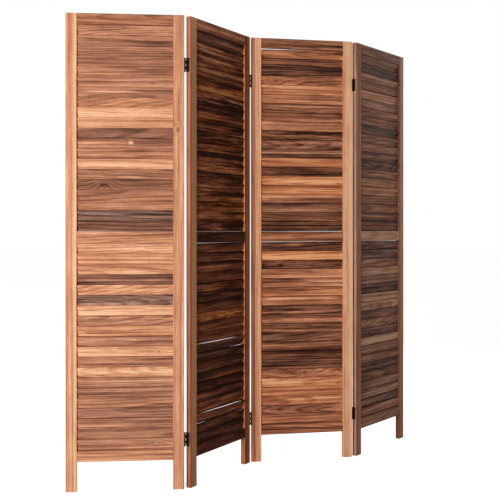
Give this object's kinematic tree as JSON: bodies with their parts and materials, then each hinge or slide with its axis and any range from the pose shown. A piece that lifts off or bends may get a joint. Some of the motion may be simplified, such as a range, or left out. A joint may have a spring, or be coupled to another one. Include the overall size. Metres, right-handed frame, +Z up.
{
  "type": "folding louvred room divider",
  "caption": "Free-standing folding wooden screen: hinged louvred panels standing in a zigzag, with slats that turn in their frames.",
  "frame": {"origin": "on the floor, under the middle of the screen as it stands in the picture (centre of its bounding box)", "axes": "+Z up; +X along the screen, from the first panel to the last; +Y away from the front that the picture shows"},
  "size_m": [1.3422, 0.8626, 1.7],
  "materials": {
    "stile_wood": "satin clear lacquer on pale straight-grained wood",
    "rail_wood": "satin clear lacquer on mid-brown wood",
    "slat_wood": "satin clear lacquer on wood that varies from light tan to dark brown",
    "hinge_metal": "black satin"
  },
  "bodies": {
    "panel_1": {"panel_1_left_stile": "stile_wood", "panel_1_right_stile": "stile_wood", "panel_1_top_rail": "rail_wood", "panel_1_mid_rail": "rail_wood", "panel_1_bottom_rail": "rail_wood", "panel_1_upper_slats": "slat_wood", "panel_1_lower_slats": "slat_wood", "hinge_1_2_top_pin_leaf": "hinge_metal", "hinge_1_2_bottom_pin_leaf": "hinge_metal"},
    "panel_2": {"hinge_1_2_top_plain_leaf": "hinge_metal", "hinge_1_2_bottom_plain_leaf": "hinge_metal", "panel_2_left_stile": "stile_wood", "panel_2_right_stile": "stile_wood", "panel_2_top_rail": "rail_wood", "panel_2_mid_rail": "rail_wood", "panel_2_bottom_rail": "rail_wood", "panel_2_upper_slats": "slat_wood", "hinge_2_3_top_pin_leaf": "hinge_metal", "hinge_2_3_bottom_pin_leaf": "hinge_metal"},
    "panel_3": {"hinge_2_3_top_plain_leaf": "hinge_metal", "hinge_2_3_bottom_plain_leaf": "hinge_metal", "panel_3_left_stile": "stile_wood", "panel_3_right_stile": "stile_wood", "panel_3_top_rail": "rail_wood", "panel_3_mid_rail": "rail_wood", "panel_3_bottom_rail": "rail_wood", "panel_3_upper_slats": "slat_wood", "panel_3_lower_slats": "slat_wood", "hinge_3_4_top_pin_leaf": "hinge_metal", "hinge_3_4_bottom_pin_leaf": "hinge_metal"},
    "panel_4": {"hinge_3_4_top_plain_leaf": "hinge_metal", "hinge_3_4_bottom_plain_leaf": "hinge_metal", "panel_4_left_stile": "stile_wood", "panel_4_right_stile": "stile_wood", "panel_4_top_rail": "rail_wood", "panel_4_mid_rail": "rail_wood", "panel_4_bottom_rail": "rail_wood", "panel_4_upper_slats": "slat_wood", "panel_4_lower_slats": "slat_wood"},
    "p2_slat_01": {"panel_2_lower_slat_01": "slat_wood"},
    "p2_slat_02": {"panel_2_lower_slat_02": "slat_wood"},
    "p2_slat_03": {"panel_2_lower_slat_03": "slat_wood"},
    "p2_slat_04": {"panel_2_lower_slat_04": "slat_wood"},
    "p2_slat_05": {"panel_2_lower_slat_05": "slat_wood"},
    "p2_slat_06": {"panel_2_lower_slat_06": "slat_wood"},
    "p2_slat_07": {"panel_2_lower_slat_07": "slat_wood"},
    "p2_slat_08": {"panel_2_lower_slat_08": "slat_wood"},
    "p2_slat_09": {"panel_2_lower_slat_09": "slat_wood"},
    "p2_slat_10": {"panel_2_lower_slat_10": "slat_wood"},
    "p2_slat_11": {"panel_2_lower_slat_11": "slat_wood"},
    "p2_slat_12": {"panel_2_lower_slat_12": "slat_wood"},
    "p2_slat_13": {"panel_2_lower_slat_13": "slat_wood"},
    "p2_slat_14": {"panel_2_lower_slat_14": "slat_wood"},
    "p2_slat_15": {"panel_2_lower_slat_15": "slat_wood"},
    "p2_slat_16": {"panel_2_lower_slat_16": "slat_wood"},
    "p2_slat_17": {"panel_2_lower_slat_17": "slat_wood"},
    "p2_slat_18": {"panel_2_lower_slat_18": "slat_wood"},
    "p2_slat_19": {"panel_2_lower_slat_19": "slat_wood"},
    "p2_slat_20": {"panel_2_lower_slat_20": "slat_wood"},
    "p3_slat_01": {"panel_3_upper_slat_01": "slat_wood"}
  },
  "joints": [
    {"name": "fold_1_2", "type": "hinge", "parent": "panel_1", "child": "panel_2", "pos_m": [-0.25076, -0.36911, 0.85], "axis": [0, 0, 1], "range_deg": [-54, 126]},
    {"name": "fold_2_3", "type": "hinge", "parent": "panel_2", "child": "panel_3", "pos_m": [-0.01153, -0.01567, 0.85], "axis": [0, 0, 1], "range_deg": [-132, 48]},
    {"name": "fold_3_4", "type": "hinge", "parent": "panel_3", "child": "panel_4", "pos_m": [0.40093, 0.09402, 0.85], "axis": [0, 0, 1], "range_deg": [-42, 138]},
    {"name": "p2_slat_01_turn", "type": "hinge", "parent": "panel_2", "child": "p2_slat_01", "pos_m": [-0.13114, -0.19239, 0.86126], "axis": [0.509, 0.8607, 0], "range_deg": [0, 125]},
    {"name": "p2_slat_02_turn", "type": "hinge", "parent": "panel_2", "child": "p2_slat_02", "pos_m": [-0.13114, -0.19239, 0.82463], "axis": [0.509, 0.8607, 0], "range_deg": [0, 125]},
    {"name": "p2_slat_03_turn", "type": "hinge", "parent": "panel_2", "child": "p2_slat_03", "pos_m": [-0.13114, -0.19239, 0.78799], "axis": [0.509, 0.8607, 0], "range_deg": [0, 125]},
    {"name": "p2_slat_04_turn", "type": "hinge", "parent": "panel_2", "child": "p2_slat_04", "pos_m": [-0.13114, -0.19239, 0.75136], "axis": [0.509, 0.8607, 0], "range_deg": [0, 125]},
    {"name": "p2_slat_05_turn", "type": "hinge", "parent": "panel_2", "child": "p2_slat_05", "pos_m": [-0.13114, -0.19239, 0.71473], "axis": [0.509, 0.8607, 0], "range_deg": [0, 125]},
    {"name": "p2_slat_06_turn", "type": "hinge", "parent": "panel_2", "child": "p2_slat_06", "pos_m": [-0.13114, -0.19239, 0.6781], "axis": [0.509, 0.8607, 0], "range_deg": [0, 125]},
    {"name": "p2_slat_07_turn", "type": "hinge", "parent": "panel_2", "child": "p2_slat_07", "pos_m": [-0.13114, -0.19239, 0.64146], "axis": [0.509, 0.8607, 0], "range_deg": [0, 125]},
    {"name": "p2_slat_08_turn", "type": "hinge", "parent": "panel_2", "child": "p2_slat_08", "pos_m": [-0.13114, -0.19239, 0.60483], "axis": [0.509, 0.8607, 0], "range_deg": [0, 125]},
    {"name": "p2_slat_09_turn", "type": "hinge", "parent": "panel_2", "child": "p2_slat_09", "pos_m": [-0.13114, -0.19239, 0.5682], "axis": [0.509, 0.8607, 0], "range_deg": [0, 125]},
    {"name": "p2_slat_10_turn", "type": "hinge", "parent": "panel_2", "child": "p2_slat_10", "pos_m": [-0.13114, -0.19239, 0.53157], "axis": [0.509, 0.8607, 0], "range_deg": [0, 125]},
    {"name": "p2_slat_11_turn", "type": "hinge", "parent": "panel_2", "child": "p2_slat_11", "pos_m": [-0.13114, -0.19239, 0.49493], "axis": [0.509, 0.8607, 0], "range_deg": [-20, 105]},
    {"name": "p2_slat_12_turn", "type": "hinge", "parent": "panel_2", "child": "p2_slat_12", "pos_m": [-0.13114, -0.19239, 0.4583], "axis": [0.509, 0.8607, 0], "range_deg": [0, 125]},
    {"name": "p2_slat_13_turn", "type": "hinge", "parent": "panel_2", "child": "p2_slat_13", "pos_m": [-0.13114, -0.19239, 0.42167], "axis": [0.509, 0.8607, 0], "range_deg": [0, 125]},
    {"name": "p2_slat_14_turn", "type": "hinge", "parent": "panel_2", "child": "p2_slat_14", "pos_m": [-0.13114, -0.19239, 0.38504], "axis": [0.509, 0.8607, 0], "range_deg": [0, 125]},
    {"name": "p2_slat_15_turn", "type": "hinge", "parent": "panel_2", "child": "p2_slat_15", "pos_m": [-0.13114, -0.19239, 0.3484], "axis": [0.509, 0.8607, 0], "range_deg": [0, 125]},
    {"name": "p2_slat_16_turn", "type": "hinge", "parent": "panel_2", "child": "p2_slat_16", "pos_m": [-0.13114, -0.19239, 0.31177], "axis": [0.509, 0.8607, 0], "range_deg": [0, 125]},
    {"name": "p2_slat_17_turn", "type": "hinge", "parent": "panel_2", "child": "p2_slat_17", "pos_m": [-0.13114, -0.19239, 0.27514], "axis": [0.509, 0.8607, 0], "range_deg": [0, 125]},
    {"name": "p2_slat_18_turn", "type": "hinge", "parent": "panel_2", "child": "p2_slat_18", "pos_m": [-0.13114, -0.19239, 0.23851], "axis": [0.509, 0.8607, 0], "range_deg": [-16, 109]},
    {"name": "p2_slat_19_turn", "type": "hinge", "parent": "panel_2", "child": "p2_slat_19", "pos_m": [-0.13114, -0.19239, 0.20187], "axis": [0.509, 0.8607, 0], "range_deg": [0, 125]},
    {"name": "p2_slat_20_turn", "type": "hinge", "parent": "panel_2", "child": "p2_slat_20", "pos_m": [-0.13114, -0.19239, 0.16524], "axis": [0.509, 0.8607, 0], "range_deg": [0, 125]},
    {"name": "p3_slat_01_turn", "type": "hinge", "parent": "panel_3", "child": "p3_slat_01", "pos_m": [0.1947, 0.03917, 1.63976], "axis": [0.9803, 0.1977, 0], "range_deg": [-25, 100]}
  ]
}
